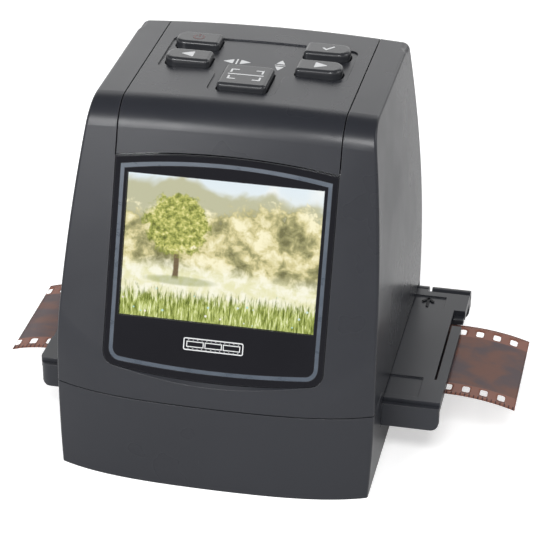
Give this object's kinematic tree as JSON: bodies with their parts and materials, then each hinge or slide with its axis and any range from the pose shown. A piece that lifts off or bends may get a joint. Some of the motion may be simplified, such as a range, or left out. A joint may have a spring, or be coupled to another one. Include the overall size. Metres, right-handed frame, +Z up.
{
  "type": "film negative scanner",
  "caption": "Desktop 35 mm film scanner with a leaning display, top keys, rear sockets, and a hinged film holder that slides through both sides.",
  "frame": {"origin": "centre of the body's footprint, on the surface that it stands on", "axes": "+X to the right of the display, -Y towards the person who faces the display, +Z up"},
  "size_m": [0.1329, 0.0844, 0.0956],
  "materials": {
    "housing_plastic": "satin charcoal",
    "cover_plastic": "satin charcoal",
    "rear_plastic": "fine matt texture",
    "base_plate_plastic": "matt black",
    "foot_rubber": "matt",
    "screw_steel": "dark zinc",
    "frame_gloss": "polished black",
    "line_plastic": "blue-grey inlay",
    "pane_clear": "clear",
    "lcd_glass": "lit screen",
    "bracket_steel": "plated sheet",
    "flex_film": "amber flat cable",
    "key_plastic": "semi-gloss black",
    "board_green": "printed circuit board",
    "switch_parts": "black switch with steel plunger",
    "tray_white": "white",
    "diffuser_white": "opal",
    "led_yellow": "white LED",
    "guide_plastic": "black",
    "optic_plastic": "matt black",
    "lens_clear": "coated",
    "chip_black": "epoxy",
    "socket_steel": "plated",
    "jack_plastic": "black",
    "holder_plastic": "satin dark grey",
    "pin_steel": "drawn",
    "film_base": "orange-brown film"
  },
  "bodies": {
    "housing": {"base_housing": "housing_plastic", "upper_shell": "housing_plastic", "top_cover": "cover_plastic", "rear_cover": "rear_plastic", "base_plate": "base_plate_plastic", "rubber_feet": "foot_rubber", "base_screws": "screw_steel", "rear_screws": "screw_steel", "display_frame": "frame_gloss", "display_line": "line_plastic", "window_pane": "pane_clear", "lcd_panel": "lcd_glass", "lcd_bracket": "bracket_steel", "lcd_flex": "flex_film", "key_board": "board_green", "key_switches": "switch_parts", "key_board_screws": "screw_steel", "light_box": "tray_white", "light_diffuser": "diffuser_white", "led_board": "board_green", "leds": "led_yellow", "guide_lower": "guide_plastic", "guide_upper": "guide_plastic", "lens_tower": "optic_plastic", "lens_mount": "optic_plastic", "lens_barrel": "optic_plastic", "lens_glass": "lens_clear", "sensor_board": "board_green", "image_sensor": "chip_black", "board_spacers": "socket_steel", "main_board": "board_green", "board_chips": "chip_black", "usb_socket": "socket_steel", "card_socket": "socket_steel", "tv_out_jack": "jack_plastic"},
    "power_key_body": {"power_key": "key_plastic"},
    "ok_key_body": {"ok_key": "key_plastic"},
    "left_key_body": {"left_key": "key_plastic"},
    "right_key_body": {"right_key": "key_plastic"},
    "scan_key_body": {"scan_key": "key_plastic"},
    "film_holder": {"holder_base": "holder_plastic", "hinge_pin": "pin_steel"},
    "holder_cover": {"holder_lid": "holder_plastic"},
    "film": {"film_strip": "film_base"}
  },
  "joints": [
    {"name": "power_press", "type": "slide", "parent": "housing", "child": "power_key_body", "axis": [0, 0, -1], "range_m": [0, 0.0006], "stiffness_N_per_m": 1500, "springref_m": -0.0004},
    {"name": "ok_press", "type": "slide", "parent": "housing", "child": "ok_key_body", "axis": [0, 0, -1], "range_m": [0, 0.0006], "stiffness_N_per_m": 1500, "springref_m": -0.0004},
    {"name": "left_press", "type": "slide", "parent": "housing", "child": "left_key_body", "axis": [0, 0, -1], "range_m": [0, 0.0006], "stiffness_N_per_m": 1500, "springref_m": -0.0004},
    {"name": "right_press", "type": "slide", "parent": "housing", "child": "right_key_body", "axis": [0, 0, -1], "range_m": [0, 0.0006], "stiffness_N_per_m": 1500, "springref_m": -0.0004},
    {"name": "scan_press", "type": "slide", "parent": "housing", "child": "scan_key_body", "axis": [0, 0, -1], "range_m": [0, 0.0006], "stiffness_N_per_m": 1500, "springref_m": -0.0004},
    {"name": "holder_slide", "type": "slide", "parent": "housing", "child": "film_holder", "axis": [1, 0, 0], "range_m": [-0.09, 0.085]},
    {"name": "holder_cover_hinge", "type": "hinge", "parent": "film_holder", "child": "holder_cover", "pos_m": [0, 0.0394, 0.0186], "axis": [-1, 0, 0], "range_deg": [0, 0.4]},
    {"name": "film_advance", "type": "slide", "parent": "film_holder", "child": "film", "axis": [1, 0, 0], "range_m": [-0.038, 0.038], "deforming": ["film_strip"]}
  ]
}
